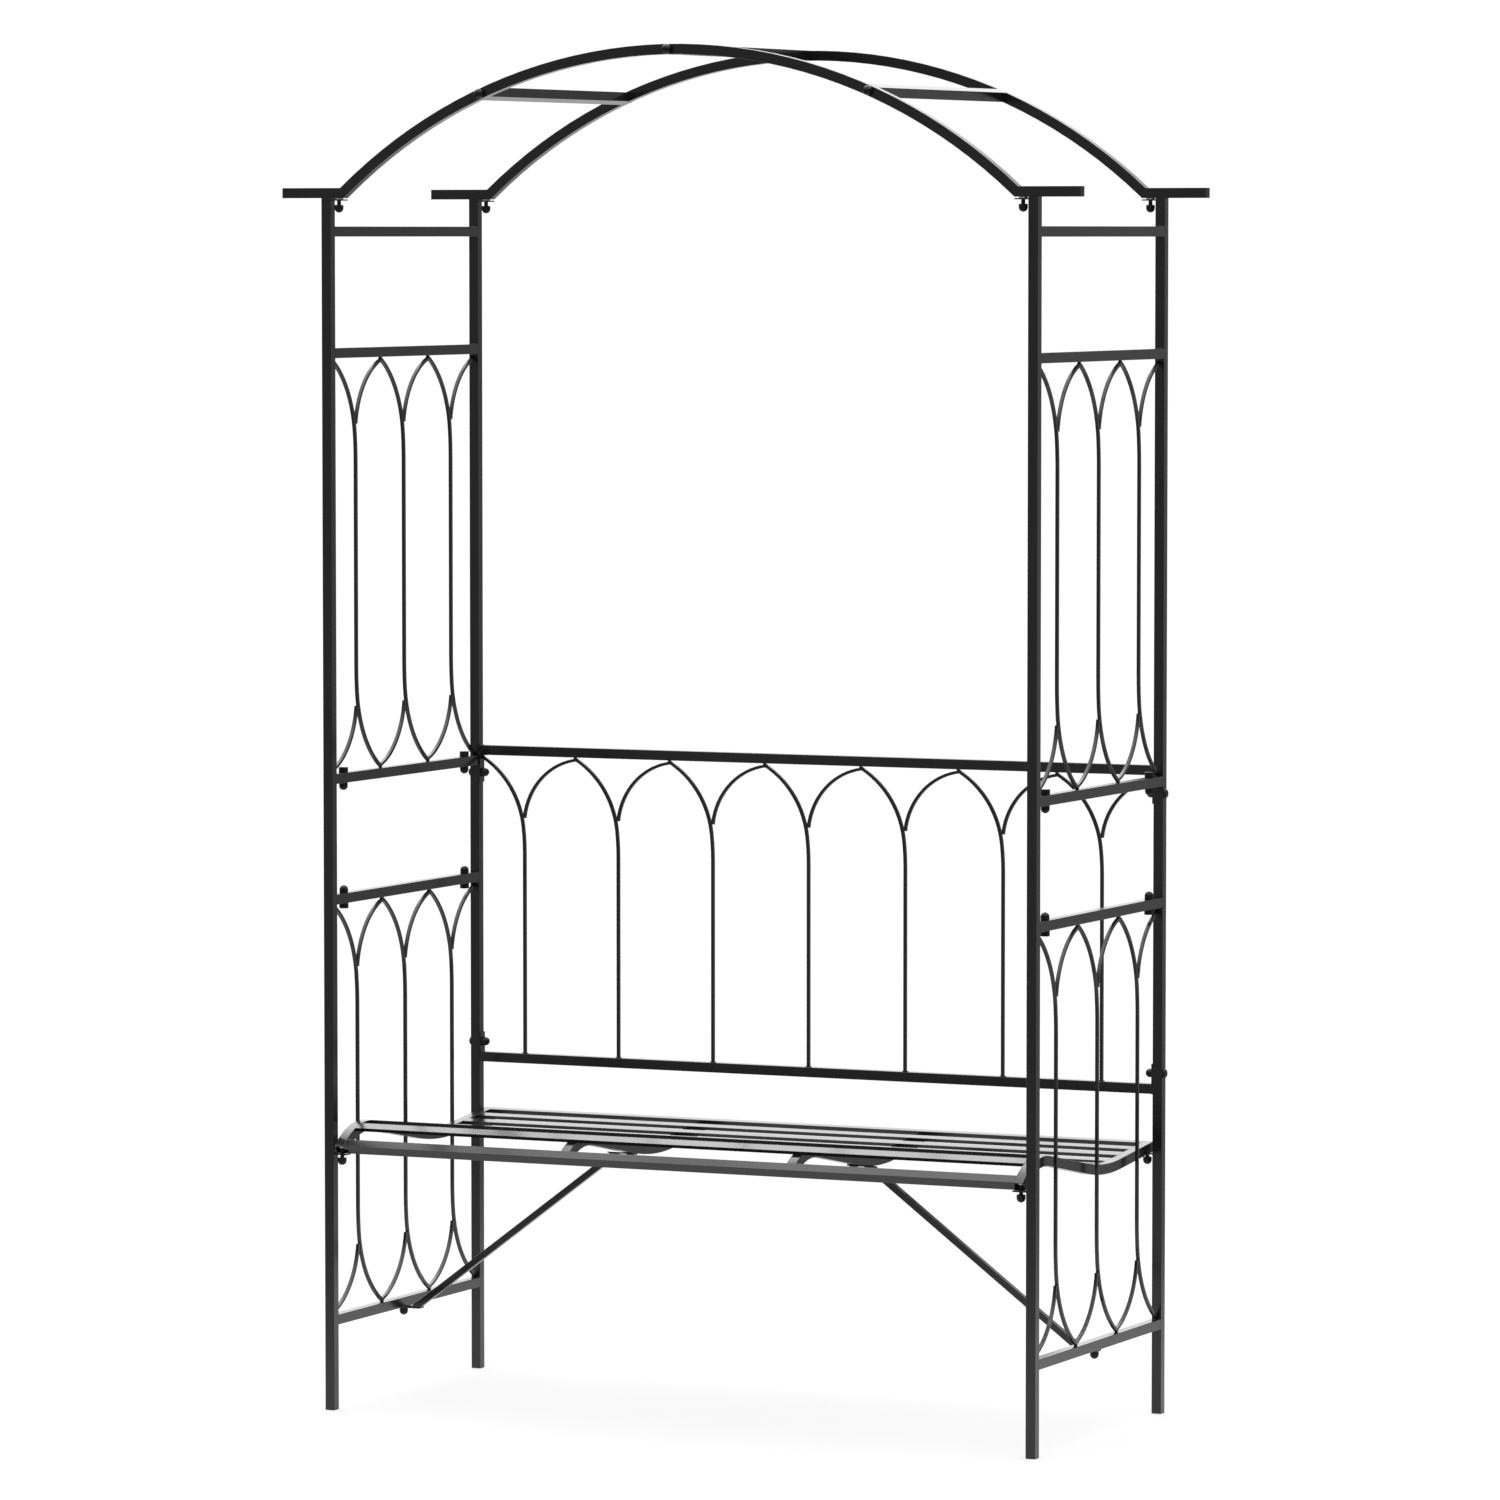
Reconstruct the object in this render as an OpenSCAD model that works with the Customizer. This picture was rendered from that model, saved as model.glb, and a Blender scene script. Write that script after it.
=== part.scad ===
// Garden arch with a built-in bench. Square steel tube frame, bent flat-panel trellis sides, slatted seat
// with a backrest between the sides. X is across the walkway, Y runs from front to back, Z is up.
// The origin is on the ground, midway between the four posts.

/* [Tube] */
// Side of the square frame tube
tube = 15; // [12:0.5:18]
// Wall of the frame tube
tube_wall = 1.2; // [0.8:0.1:2]
// Outer corner radius of the frame tube
tube_corner = 0.6; // [0.4:0.1:2.5]

/* [Posts] */
// Spacing of the posts across the walkway, centre to centre
span_x = 1127.2; // [930:0.1:1360]
// Spacing of the posts from front to back, centre to centre
span_y = 480.6; // [400:0.1:580]
// Height of the posts' tops, which the arches lie on
post_h = 1795.3; // [1490:0.1:2160]

/* [Arches] */
// Slope of the arch where its curve meets the flat ends, in degrees
arch_angle = 41.7; // [33:0.1:50]
// Distance from a post's centre in to the arch's mitre
mitre_inset = 26.2; // [22:0.1:40]
// Distance from a post's centre out to the arch's end
arch_overhang = 72.4; // [40:0.1:90]
// Places of the roof crossbars along the arch, in degrees from its crown
crossbar_angles = [-22.6, -0.5, 22.6]; // [-30:0.1:30]
// Length of the threaded insert in a crossbar's end
insert_len = 14; // [10:1:20]

/* [Plugs] */
// Thickness of a plug's visible flange
plug_flange = 1.6; // [1:0.1:3]
// Length of the plug inside the tube
plug_len = 12; // [8:1:18]

/* [Side panels] */
// Drop of the side's top rail below the posts' tops, to its centre
top_rail_drop = 48.9; // [35:0.1:60]
// Drop of the upper panel's top rail below the posts' tops, to its centre
upper_panel_drop = 227.8; // [180:0.1:280]
// Gap between the two panels, between rail centres
panel_gap = 179; // [140:0.1:215]
// Height of the lower panel, between rail centres
lower_panel_h = 625.7; // [520:0.1:750]
// Height of the lowest rail's centre above the ground
lower_rail_z = 134; // [110:0.1:165]
// Bars in each side panel
side_bars = 3; // [2:1:4]
// Offset of the side bars from the middle of their bays
side_bar_shift = -0.7; // [-4:0.1:4]

/* [Infill bars] */
// Side of the square infill bar
bar = 4.6; // [4:0.1:6]
// Radius of the first, slack part of a bar's bend
lead_r = 370; // [300:1:450]
// Sweep of the slack part, in degrees
lead_angle = 6.4; // [4:0.1:8]
// Slope of a bar's end from plumb, in degrees
end_angle = 61.5; // [52:0.1:70]
// Distance of a long bar's end centre from its rail
end_gap = 1.6; // [1.2:0.1:2.2]
// Sideways place of a short arc's lower end from its long bar's plumb line
arc_start = -0.15; // [-0.5:0.05:0.5]
// Slopes of a side panel's short arc from plumb, at its two ends, in degrees
side_arc = [8.6, 71.8]; // [5:0.1:80]
// Distance of a side panel's short arc's end from its rail
side_arc_drop = 5.2; // [4:0.1:7]
// Slopes of a backrest's short arc from plumb, at its two ends, in degrees
back_arc = [6, 80]; // [4:0.1:84]
// Distance of a backrest's short arc's end from its rail
back_arc_drop = 4.7; // [4:0.1:7]

/* [Side rail joints] */
// Length of the tongue inside a bolted rail
tongue_len = 60; // [45:1:80]
// Distance from a post's face to a rail bolt
rail_bolt_in = 34.8; // [25:0.1:42]

/* [Backrest] */
// Height of the backrest's top rail, to its centre
back_top_z = 954.4; // [800:0.1:1140]
// Height of the backrest's bottom rail, to its centre
back_low_z = 482.8; // [440:0.1:560]
// Bars in the backrest
back_bars = 7; // [5:1:9]
// Offset of the backrest's bars from the middle of their bays
back_bar_shift = -4.8; // [-8:0.1:8]
// Length of a top rail's end tab
back_tab_top = 57; // [45:1:70]
// Length of a bottom rail's end tab
back_tab_low = 45; // [38:1:55]
// Distance from the top rail's centre down to its bolt
back_bolt_top = 34.4; // [24:0.1:42]
// Distance from the bottom rail's centre up to its bolt
back_bolt_low = 23; // [18:0.1:30]

/* [Seat] */
// Gap between a post and the seat's end rail
seat_gap = 3.2; // [2:0.1:6]
// Distance from the middle to an intermediate seat rail
mid_rail_x = 181.8; // [150:0.1:220]
// Distance from the rear posts' centre to the seat's lowest point
dip_in = 163.9; // [140:0.1:180]
// Height of the seat rails' centre at the lowest point
dip_z = 382; // [330:0.1:430]
// Radius of the seat's dip
dip_r = 450; // [380:1:520]
// Radius of the seat's front roll
roll_r = 111; // [95:1:130]
// Slope of the seat's rear, in degrees
rear_slope = 5.5; // [4:0.1:8]
// Slope of the seat towards the front roll, in degrees
front_slope = 10.5; // [8:0.1:13]
// Slope of the seat's front edge, in degrees
edge_slope = 38.5; // [30:0.1:46]
// Number of slats
slats = 10; // [8:1:11]
// Width of a slat
slat_w = 20; // [16:0.5:25]
// Thickness of a slat
slat_t = 5; // [4:0.1:6]

/* [Braces] */
// Side of the square brace tube
brace_tube = 10; // [8:0.5:12]
// Wall of the brace tube
brace_wall = 1; // [0.8:0.1:1.5]
// Place of the braces from front to back
brace_y = -8; // [-30:0.5:30]
// Distance from a post's centre in to the brace's lower end
brace_foot_in = 22.1; // [20:0.1:30]
// Distance from an intermediate seat rail's centre out to the brace's upper end
brace_head_out = 26.7; // [22:0.1:40]

/* [Tabs and fasteners] */
// Thickness of the welded tabs
tab_t = 2; // [1.5:0.1:3]
// Distance from a post's centre in to the upright corner screws
corner_in = 18.2; // [17:0.1:22]
// Length of a corner tab beyond its screw
tab_margin = 10.4; // [9:0.1:14]
// Shank diameter of every screw
screw_d = 6; // [5:0.5:8]
// Diameter of a dome head or dome nut
dome_d = 13; // [12:0.1:16]
// Height of a dome head or dome nut
dome_h = 11.4; // [9:0.1:13]
// Diameter of a crossbar bolt's dome head
cap_d = 14; // [12:0.1:16]
// Diameter of a flat nut and of a low head
flat_d = 14; // [12:0.1:16]
// Height of a flat nut
flat_nut_h = 8; // [6:0.1:10]
// Height of a low head
low_head_h = 4; // [3:0.1:6]
// Bare shank between an arch's tab and its screw's head
arch_screw_gap = 6.1; // [0:0.1:8]
// Bare shank between a seat's tab and its screw's head
seat_screw_gap = 4; // [0:0.1:8]
// Thickness of a rivet nut's flange
rivet_flange = 1.8; // [1:0.1:2.5]
// Diameter of a rivet nut's body
rivet_d = 9; // [8:0.1:10]
// Length of a rivet nut's body inside the tube
rivet_len = 9; // [7:0.1:11]
// Diameter of a weld nut
nut_d = 10; // [9:0.1:11]
// Height of a weld nut
nut_h = 5; // [4:0.1:6]
// Clearance of pieces that slide or seat in each other
fit = 0.1; // [0.05:0.05:0.3]

/* [Hidden] */
$fn = 48;

STEEL = "#282828";
PLASTIC = "#1c1c1c";
ZINC = "#a9adb0";
LEFT = -1;
RIGHT = 1;
FRONT = -1;
REAR = 1;

post_x = span_x / 2;
post_y = span_y / 2;
half = tube / 2;
inner_x = post_x - half;
inner_y = post_y - half;
core = tube - 2 * tube_wall;

// Arch: the curve runs into a short tangent stub at each end, which the mitre cuts.
arch_z = post_h + half;
arch_mitre_x = post_x - mitre_inset;
arch_stub = half * tan(arch_angle / 2);
arch_r = (arch_mitre_x - arch_stub * cos(arch_angle)) / sin(arch_angle);
arch_centre_z = arch_z + arch_stub * sin(arch_angle) - arch_r * cos(arch_angle);
arch_end_x = post_x + arch_overhang;

// Rail heights, at the tubes' centres
top_rail_z = post_h - top_rail_drop;
upper_top_z = post_h - upper_panel_drop;
lower_bottom_z = lower_rail_z;
lower_top_z = lower_rail_z + lower_panel_h;
upper_bottom_z = lower_top_z + panel_gap;

lead_shift = lead_r * (1 - cos(lead_angle));
arc_over = 2;
cut = 4 * tube;

// Where a straight length runs into a bend, one of them enters the other by the lap, with its section a hair
// slimmer all round, so that the two are one solid.
lap = 1;
slim = 0.02;
weld = 0.1;
fine = 256;

// Small edges: the bevel of heads and nuts, the profile of a low head, a rivet nut's lip, the depth of a dome
// nut's bore into its dome, and the clearance of a flat slat's long edges over the bent rails
head_edge = 0.5;
low_flat_in = 2;
low_side_in = 0.6;
low_side = 0.7;
low_rim = 0.35;
rivet_lip = 2;
bore_over = 1;
slat_clear = 0.037;

// Seat curve, in the plane of Y and Z, at the end rails' centreline
seat_rail_x = inner_x - seat_gap - half;
seat_inner_x = seat_rail_x - half;
dip_y = post_y - dip_in;
rear_y = dip_y + dip_r * sin(rear_slope);
rear_z = dip_z + dip_r * (1 - cos(rear_slope));
fore_y = dip_y - dip_r * sin(front_slope);
fore_z = dip_z + dip_r * (1 - cos(front_slope));
crest_y = -post_y + roll_r * sin(edge_slope);
roll_y = crest_y + roll_r * sin(front_slope);
rear_len = (post_y - rear_y) / cos(rear_slope);
dip_len = dip_r * (rear_slope + front_slope) * PI / 180;
fore_len = (fore_y - roll_y) / cos(front_slope);
roll_len = roll_r * (front_slope + edge_slope) * PI / 180;
seat_len = rear_len + dip_len + fore_len + roll_len;
crest_z = fore_z + fore_len * sin(front_slope) + roll_r * (1 - cos(front_slope));
edge_z = crest_z - roll_r * (1 - cos(edge_slope));
rear_rail_z = rear_z + rear_len * sin(rear_slope);
slat_sag = slat_w * slat_w / 8 / (dip_r - half);
slat_rest = slat_sag + slat_clear;
mid_rail_drop = slat_t + slat_rest;

// Tops of the seat's tabs, just under the lowest point of the rails above them
front_tab_z = edge_z - half * (sin(edge_slope) + cos(edge_slope)) - fit;
rear_tab_z = rear_rail_z - half / cos(rear_slope) - half * tan(rear_slope) - fit;
arch_tab_z = post_h - rivet_flange;

// Diagonal braces
brace_foot_x = post_x - brace_foot_in;
brace_foot_z = lower_bottom_z - half;
brace_head_x = mid_rail_x + brace_head_out;
brace_head = seat_on(brace_y);
brace_head_z = brace_head[0] - (half + mid_rail_drop + tab_t) / cos(brace_head[1]);
brace_run = brace_foot_x - brace_head_x;
brace_rise = brace_head_z - brace_foot_z;
brace_len = norm([brace_run, brace_rise]);

// ---- Sections and shared shapes -------------------------------------------------------------------------

module rounded_square(size, r) {
    square([size, size - 2 * r], center = true);
    square([size - 2 * r, size], center = true);
    for (x = [-1, 1], y = [-1, 1])
        translate([x * (size / 2 - r), y * (size / 2 - r)]) circle(r, $fn = 32);
}

module tube_section(size = tube, wall = tube_wall, r = tube_corner) {
    difference() {
        rounded_square(size, r);
        square(size - 2 * wall, center = true);
    }
}

// A length of frame tube that starts at the origin and runs along +X
module tube_along_x(len) {
    rotate([0, 90, 0]) linear_extrude(len) tube_section();
}

// The same with the slimmer section, entering the bend before it and, where asked, the one after it
module tube_into_bend(len, after = 0) {
    translate([-lap, 0, 0]) rotate([0, 90, 0]) linear_extrude(lap + len + after)
        tube_section(tube - 2 * slim, tube_wall - 2 * slim);
}

module tube_bend(r, angle) {
    rotate_extrude(angle = angle, $fn = fine) translate([r, 0]) tube_section();
}

// Child shapes drawn flat in X and Y stand up: in the side's plane, or facing the front
module upright_side(x) {
    translate([x, 0, 0]) rotate([90, 0, 90]) children();
}

module upright_front(y) {
    translate([0, y, 0]) rotate([90, 0, 0]) children();
}

module corners(x, y) {
    for (sx = [LEFT, RIGHT], sy = [FRONT, REAR]) translate([sx * x, sy * y, 0]) children();
}

// ---- Fasteners: head or nut towards -Z, shank towards +Z -------------------------------------------------

function dome_points(d, h) = [for (a = [-90:10:0]) [d / 2 * cos(a), -h + d / 2 * (1 + sin(a))]];

module dome_screw(len, d = dome_d, h = dome_h) {
    rotate_extrude() polygon(concat(
        dome_points(d, h),
        [[d / 2, -head_edge], [d / 2 - head_edge, 0], [screw_d / 2, 0], [screw_d / 2, len], [0, len]]));
}

module low_screw(len) {
    r = flat_d / 2;
    rotate_extrude() polygon([
        [0, -low_head_h], [r - low_flat_in, -low_head_h], [r - low_side_in, -low_head_h * low_side],
        [r, -low_head_h * low_rim],
        [r, 0], [screw_d / 2, 0], [screw_d / 2, len], [0, len]]);
}

// Dome nut: its seat is at the origin and its dome points to -Z, with a blind bore from the seat
module dome_nut(depth) {
    bore = screw_d / 2 + fit;
    rotate_extrude() polygon(concat(
        dome_points(dome_d, dome_h),
        [[dome_d / 2, -head_edge], [dome_d / 2 - head_edge, 0], [bore, 0], [bore, -depth], [0, -depth]]));
}

module round_nut(d, h) {
    bore = screw_d / 2 + fit;
    rotate_extrude() polygon([
        [bore, 0], [d / 2 - head_edge, 0], [d / 2, head_edge], [d / 2, h - head_edge],
        [d / 2 - head_edge, h], [bore, h]]);
}

// Rivet nut: its flange's lower face is at the origin
module rivet_nut() {
    bore = screw_d / 2 + fit;
    flange = rivet_d / 2 + rivet_lip;
    rotate_extrude() polygon([
        [bore, 0], [flange, 0], [flange, rivet_flange], [rivet_d / 2, rivet_flange],
        [rivet_d / 2, rivet_flange + rivet_len], [bore, rivet_flange + rivet_len]]);
}

module screw_hole(len) {
    cylinder(d = screw_d + 2 * fit, h = len, center = true);
}

module tube_plug(flange) {
    linear_extrude(flange) rounded_square(tube, tube_corner);
    translate([0, 0, flange / 2]) linear_extrude(plug_len + flange / 2)
        square(core - 2 * fit, center = true);
}

// ---- Posts ------------------------------------------------------------------------------------------------

module post(sx, sy) {
    translate([sx * post_x, sy * post_y, 0])
        translate([0, 0, plug_flange]) linear_extrude(post_h - plug_flange) tube_section();
}

module rear_post(sx) {
    difference() {
        post(sx, REAR);
        for (z = [back_bolt_top_z(), back_bolt_low_z()])
            translate([sx * post_x, post_y, z]) rotate([0, 90, 0]) screw_hole(2 * tube);
    }
}

module post_front_left() { color(STEEL) post(LEFT, FRONT); }
module post_front_right() { color(STEEL) post(RIGHT, FRONT); }
module post_rear_left() { color(STEEL) rear_post(LEFT); }
module post_rear_right() { color(STEEL) rear_post(RIGHT); }

module foot_plugs() { color(PLASTIC) corners(post_x, post_y) tube_plug(plug_flange); }

// ---- Arches and crossbars ---------------------------------------------------------------------------------

// One side of the mitre plane, as a block; side is 1 for outside it and -1 for inside it
module mitre_block(side, past = 0) {
    translate([arch_mitre_x, arch_z, 0]) rotate([0, 0, -arch_angle / 2])
        translate([side * cut / 2 + past, 0, 0]) cube(cut, center = true);
}

module arch_half_end() {
    difference() {
        translate([arch_mitre_x - tube, arch_z, 0])
            tube_along_x(arch_end_x - plug_flange - arch_mitre_x + tube);
        mitre_block(-1);
    }
    difference() {
        translate([arch_r * sin(arch_angle), arch_centre_z + arch_r * cos(arch_angle), 0])
            rotate([0, 0, -arch_angle]) tube_into_bend(arch_stub + tube);
        mitre_block(1, weld);
    }
}

module arch(y) {
    difference() {
        upright_front(y) {
            translate([0, arch_centre_z, 0]) rotate([0, 0, 90 - arch_angle])
                tube_bend(arch_r, 2 * arch_angle);
            arch_half_end();
            mirror([1, 0, 0]) arch_half_end();
        }
        for (a = crossbar_angles) on_arch(a, y) rotate([90, 0, 0]) screw_hole(2 * tube);
        for (sx = [LEFT, RIGHT]) translate([sx * (post_x - corner_in), y, post_h])
            cylinder(d = rivet_d + 2 * fit, h = tube, center = true);
    }
}

module on_arch(angle, y) {
    translate([0, y, arch_centre_z]) rotate([0, angle, 0]) translate([0, 0, arch_r]) children();
}

module arch_front() { color(STEEL) arch(-post_y); }
module arch_rear() { color(STEEL) arch(post_y); }

module arch_end_plugs() {
    color(PLASTIC) for (sx = [LEFT, RIGHT], sy = [FRONT, REAR])
        translate([sx * arch_end_x, sy * post_y, arch_z]) rotate([0, -90 * sx, 0]) tube_plug(plug_flange);
}

// A tab in its own frame: from a post's inner face in past the screw, top face at the origin's height
module corner_tab(screw_in) {
    reach = screw_in - half + tab_margin;
    difference() {
        translate([-reach, -half, -tab_t]) cube([reach, tube, tab_t]);
        translate([half - screw_in, 0, 0]) screw_hole(4 * tab_t);
    }
}

module at_post(sx, sy, z) {
    translate([sx * inner_x, sy * post_y, z]) scale_x(sx) children();
}

module scale_x(sx) {
    mirror([sx < 0 ? 1 : 0, 0, 0]) children();
}

module arch_tabs() {
    color(STEEL) for (sx = [LEFT, RIGHT], sy = [FRONT, REAR]) at_post(sx, sy, arch_tab_z) corner_tab(corner_in);
}

module arch_screws() {
    drop = tab_t + arch_screw_gap;
    color(STEEL) corners(post_x - corner_in, post_y) translate([0, 0, arch_tab_z - drop])
        dome_screw(drop + rivet_flange + rivet_len);
}

module arch_rivet_nuts() {
    color(ZINC) corners(post_x - corner_in, post_y) translate([0, 0, arch_tab_z]) rivet_nut();
}

module crossbar(angle) {
    on_arch(angle, 0) rotate([90, 0, 0]) linear_extrude(2 * inner_y, center = true) tube_section();
}

module crossbar_left() { color(STEEL) crossbar(crossbar_angles[0]); }
module crossbar_top() { color(STEEL) crossbar(crossbar_angles[1]); }
module crossbar_right() { color(STEEL) crossbar(crossbar_angles[2]); }

module crossbar_insert() {
    difference() {
        linear_extrude(insert_len) square(core - 2 * fit, center = true);
        screw_hole(4 * insert_len);
    }
}

module crossbar_inserts() {
    color(ZINC) for (a = crossbar_angles, sy = [FRONT, REAR])
        on_arch(a, sy * inner_y) rotate([90 * sy, 0, 0]) crossbar_insert();
}

module crossbar_bolts() {
    color(STEEL) for (a = crossbar_angles, sy = [FRONT, REAR])
        on_arch(a, sy * (post_y + half)) rotate([90 * sy, 0, 0])
            dome_screw(tube + insert_len - 1, cap_d, dome_h);
}

// ---- Side rails -------------------------------------------------------------------------------------------

module side_rail(sx, z) {
    translate([sx * post_x, 0, z]) rotate([90, 0, 0])
        linear_extrude(2 * inner_y, center = true) tube_section();
}

// A rail that slides on the posts' tongues, with an upright bolt near each end
module bolted_side_rail(sx, z) {
    difference() {
        side_rail(sx, z);
        for (sy = [FRONT, REAR]) translate([sx * post_x, sy * (inner_y - rail_bolt_in), z])
            screw_hole(2 * tube);
    }
}

// The lowest rail, with a hole in its underside for the brace's screw
module braced_side_rail(sx) {
    difference() {
        side_rail(sx, lower_bottom_z);
        translate([sx * post_x, brace_y, lower_bottom_z - half]) screw_hole(tube);
    }
}

module left_top_rail() { color(STEEL) side_rail(LEFT, top_rail_z); }
module left_upper_panel_top_rail() { color(STEEL) side_rail(LEFT, upper_top_z); }
module left_upper_panel_bottom_rail() { color(STEEL) bolted_side_rail(LEFT, upper_bottom_z); }
module left_lower_panel_top_rail() { color(STEEL) bolted_side_rail(LEFT, lower_top_z); }
module left_lower_panel_bottom_rail() { color(STEEL) braced_side_rail(LEFT); }
module right_top_rail() { color(STEEL) side_rail(RIGHT, top_rail_z); }
module right_upper_panel_top_rail() { color(STEEL) side_rail(RIGHT, upper_top_z); }
module right_upper_panel_bottom_rail() { color(STEEL) bolted_side_rail(RIGHT, upper_bottom_z); }
module right_lower_panel_top_rail() { color(STEEL) bolted_side_rail(RIGHT, lower_top_z); }
module right_lower_panel_bottom_rail() { color(STEEL) braced_side_rail(RIGHT); }

module tongue() {
    size = core - 2 * fit;
    difference() {
        linear_extrude(tongue_len) difference() {
            square(size, center = true);
            square(size - 2 * tube_wall, center = true);
        }
        translate([0, 0, rail_bolt_in]) rotate([90, 0, 0]) screw_hole(2 * tube);
    }
}

module rail_tongues() {
    color(STEEL) for (sx = [LEFT, RIGHT], sy = [FRONT, REAR], z = [lower_top_z, upper_bottom_z])
        translate([sx * post_x, sy * inner_y, z]) rotate([90 * sy, 0, 0]) tongue();
}

// Heads face the gap between the panels on the lower rail's top and the upper rail's underside
module rail_joint(sx, sy, z, up) {
    translate([sx * post_x, sy * (inner_y - rail_bolt_in), z]) mirror([0, 0, up ? 1 : 0]) children();
}

module rail_joints(up, z) {
    for (sx = [LEFT, RIGHT], sy = [FRONT, REAR]) rail_joint(sx, sy, z, up) children();
}

module rail_bolts() {
    color(STEEL) for (up = [true, false]) rail_joints(up, up ? lower_top_z : upper_bottom_z)
        translate([0, 0, -half]) dome_screw(tube + flat_nut_h);
}

module rail_nuts() {
    color(STEEL) for (up = [true, false]) rail_joints(up, up ? lower_top_z : upper_bottom_z)
        translate([0, 0, half]) round_nut(flat_d, flat_nut_h);
}

// ---- Infill bars ------------------------------------------------------------------------------------------
// Drawn flat: X is sideways, Y is up, a bar's plumb line is at X 0 and its rail's face at Y 0, above it.

function bend_r(run) = (run - lead_shift) / (cos(lead_angle) - cos(end_angle));
function bend_rise(run) = lead_r * sin(lead_angle) + bend_r(run) * (sin(end_angle) - sin(lead_angle));
function bend_centre(run) = [
    -lead_r + (lead_r - bend_r(run)) * cos(lead_angle),
    -end_gap - bend_rise(run) + (lead_r - bend_r(run)) * sin(lead_angle), 0];

module bar_bend(r, angle, size = bar) {
    rotate_extrude(angle = angle, $fn = fine) translate([r, 0]) square(size, center = true);
}

// A long bar's bent end, from plumb over to -X by the run. The slack part enters the bar and the tighter part.
module bent_end(run) {
    enter = lap / lead_r * 180 / PI;
    translate([-lead_r, -end_gap - bend_rise(run), 0]) rotate([0, 0, -enter])
        bar_bend(lead_r, lead_angle + 2 * enter, bar - 2 * slim);
    translate(bend_centre(run)) rotate([0, 0, lead_angle]) bar_bend(bend_r(run), end_angle - lead_angle);
}

module plumb_bar(low, high) {
    translate([-bar / 2, low, -bar / 2]) cube([bar, high - low, bar]);
}

// A short arc that leaves its long bar's flank and curves over to +X by the run, coped to the bars it meets.
// At the panel's last bar it ends on the post instead of on the next bar's bend.
module short_arc(run, long_run, pitch, slopes, drop, last) {
    r = (run - arc_start) / (cos(slopes[0]) - cos(slopes[1]));
    flank = bar / 2 + fit;
    next_flank_r = last ? 2 * pitch : bend_r(long_run) - flank;
    difference() {
        intersection() {
            translate([arc_start + r * cos(slopes[0]), -drop - r * sin(slopes[1]), 0])
                rotate([0, 0, 180 - slopes[1] - arc_over])
                bar_bend(r, slopes[1] - slopes[0] + arc_over);
            translate([pitch, 0, 0]) translate(bend_centre(long_run))
                cylinder(r = next_flank_r, h = 3 * bar, center = true, $fn = fine);
        }
        translate(bend_centre(long_run))
            cylinder(r = bend_r(long_run) + flank, h = 3 * bar, center = true, $fn = fine);
    }
}

function bar_place(i, count, pitch, shift) = (i - (count - 1) / 2) * pitch + shift;

// The space between two rails and two posts, which the bars' ends are trimmed to
module panel_space(reach, low, high) {
    translate([-reach, low, -2 * bar]) cube([2 * reach, high - low, 4 * bar]);
}

side_pitch = 2 * inner_y / side_bars;
back_reach = inner_x - tab_t;
back_pitch = 2 * inner_x / back_bars;

module side_long_bars(sx, low, high) {
    top_run = side_pitch / 2 + side_bar_shift;
    low_run = side_pitch / 2 - side_bar_shift;
    upright_side(sx * post_x) intersection() {
        for (i = [0:side_bars - 1]) translate([bar_place(i, side_bars, side_pitch, side_bar_shift), 0, 0]) {
            plumb_bar(low + end_gap + bend_rise(low_run), high - end_gap - bend_rise(top_run));
            translate([0, high, 0]) bent_end(top_run);
            translate([0, low, 0]) rotate([0, 0, 180]) bent_end(low_run);
        }
        panel_space(inner_y, low, high);
    }
}

module side_short_arcs(sx, low, high) {
    top_run = side_pitch / 2 - side_bar_shift;
    low_run = side_pitch / 2 + side_bar_shift;
    upright_side(sx * post_x) intersection() {
        for (i = [0:side_bars - 1]) translate([bar_place(i, side_bars, side_pitch, side_bar_shift), 0, 0]) {
            translate([0, high, 0])
                short_arc(top_run, low_run, side_pitch, side_arc, side_arc_drop, i == side_bars - 1);
            translate([0, low, 0]) rotate([0, 0, 180])
                short_arc(low_run, top_run, side_pitch, side_arc, side_arc_drop, i == 0);
        }
        panel_space(inner_y, low, high);
    }
}

module upper_long_bars(sx) { side_long_bars(sx, upper_bottom_z + half, upper_top_z - half); }
module lower_long_bars(sx) { side_long_bars(sx, lower_bottom_z + half, lower_top_z - half); }
module upper_short_arcs(sx) { side_short_arcs(sx, upper_bottom_z + half, upper_top_z - half); }
module lower_short_arcs(sx) { side_short_arcs(sx, lower_bottom_z + half, lower_top_z - half); }

module left_upper_long_bars() { color(STEEL) upper_long_bars(LEFT); }
module left_lower_long_bars() { color(STEEL) lower_long_bars(LEFT); }
module right_upper_long_bars() { color(STEEL) upper_long_bars(RIGHT); }
module right_lower_long_bars() { color(STEEL) lower_long_bars(RIGHT); }
module left_upper_short_arcs() { color(STEEL) upper_short_arcs(LEFT); }
module left_lower_short_arcs() { color(STEEL) lower_short_arcs(LEFT); }
module right_upper_short_arcs() { color(STEEL) upper_short_arcs(RIGHT); }
module right_lower_short_arcs() { color(STEEL) lower_short_arcs(RIGHT); }

// ---- Backrest ---------------------------------------------------------------------------------------------

function back_bolt_top_z() = back_top_z - back_bolt_top;
function back_bolt_low_z() = back_low_z + back_bolt_low;

module back_rail(z) {
    translate([-back_reach, post_y, z]) tube_along_x(2 * back_reach);
}

module backrest_top_rail() { color(STEEL) back_rail(back_top_z); }
module backrest_bottom_rail() { color(STEEL) back_rail(back_low_z); }

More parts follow.
